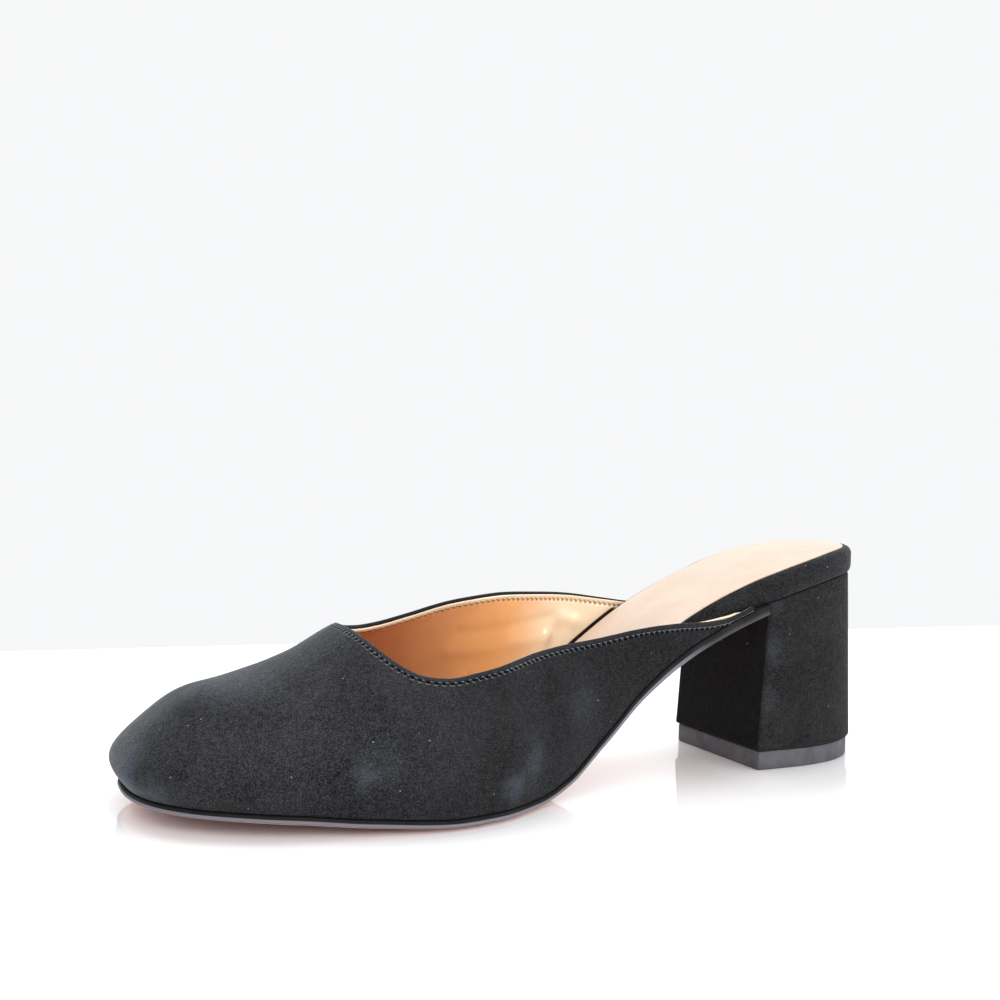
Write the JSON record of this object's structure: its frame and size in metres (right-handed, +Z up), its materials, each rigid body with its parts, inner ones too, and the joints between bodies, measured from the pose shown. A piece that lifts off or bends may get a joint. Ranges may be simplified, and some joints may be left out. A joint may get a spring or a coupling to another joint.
{
  "type": "block heel mule",
  "caption": "Backless block-heel mule, left shoe: rounded suede vamp with a low collar, wrapped insole with a pale sock, thin outsole, covered heel and rubber top piece.",
  "frame": {"origin": "on the floor, under the middle of the shoe's box", "axes": "+X from the toe towards the heel, +Y towards the inner (medial) side, +Z up"},
  "size_m": [0.2384, 0.0854, 0.0696],
  "materials": {
    "suede": "black suede, short even nap with faint bluish sheen",
    "insole_wrap": "black suede wrapped round the board's edge",
    "sock_lining": "smooth pale nude lining, satin",
    "lining": "tan lining with a high gloss",
    "thread": "dark polyester thread",
    "outsole": "black satin edge, smooth tan tread",
    "heel_cover": "black suede stretched over the block",
    "top_piece_rubber": "dark grey rubber, matte"
  },
  "bodies": {
    "root": {"outsole": "outsole", "insole": "insole_wrap", "sock": "sock_lining", "upper": "suede", "heel": "heel_cover", "top_piece": "top_piece_rubber"}
  },
  "joints": []
}
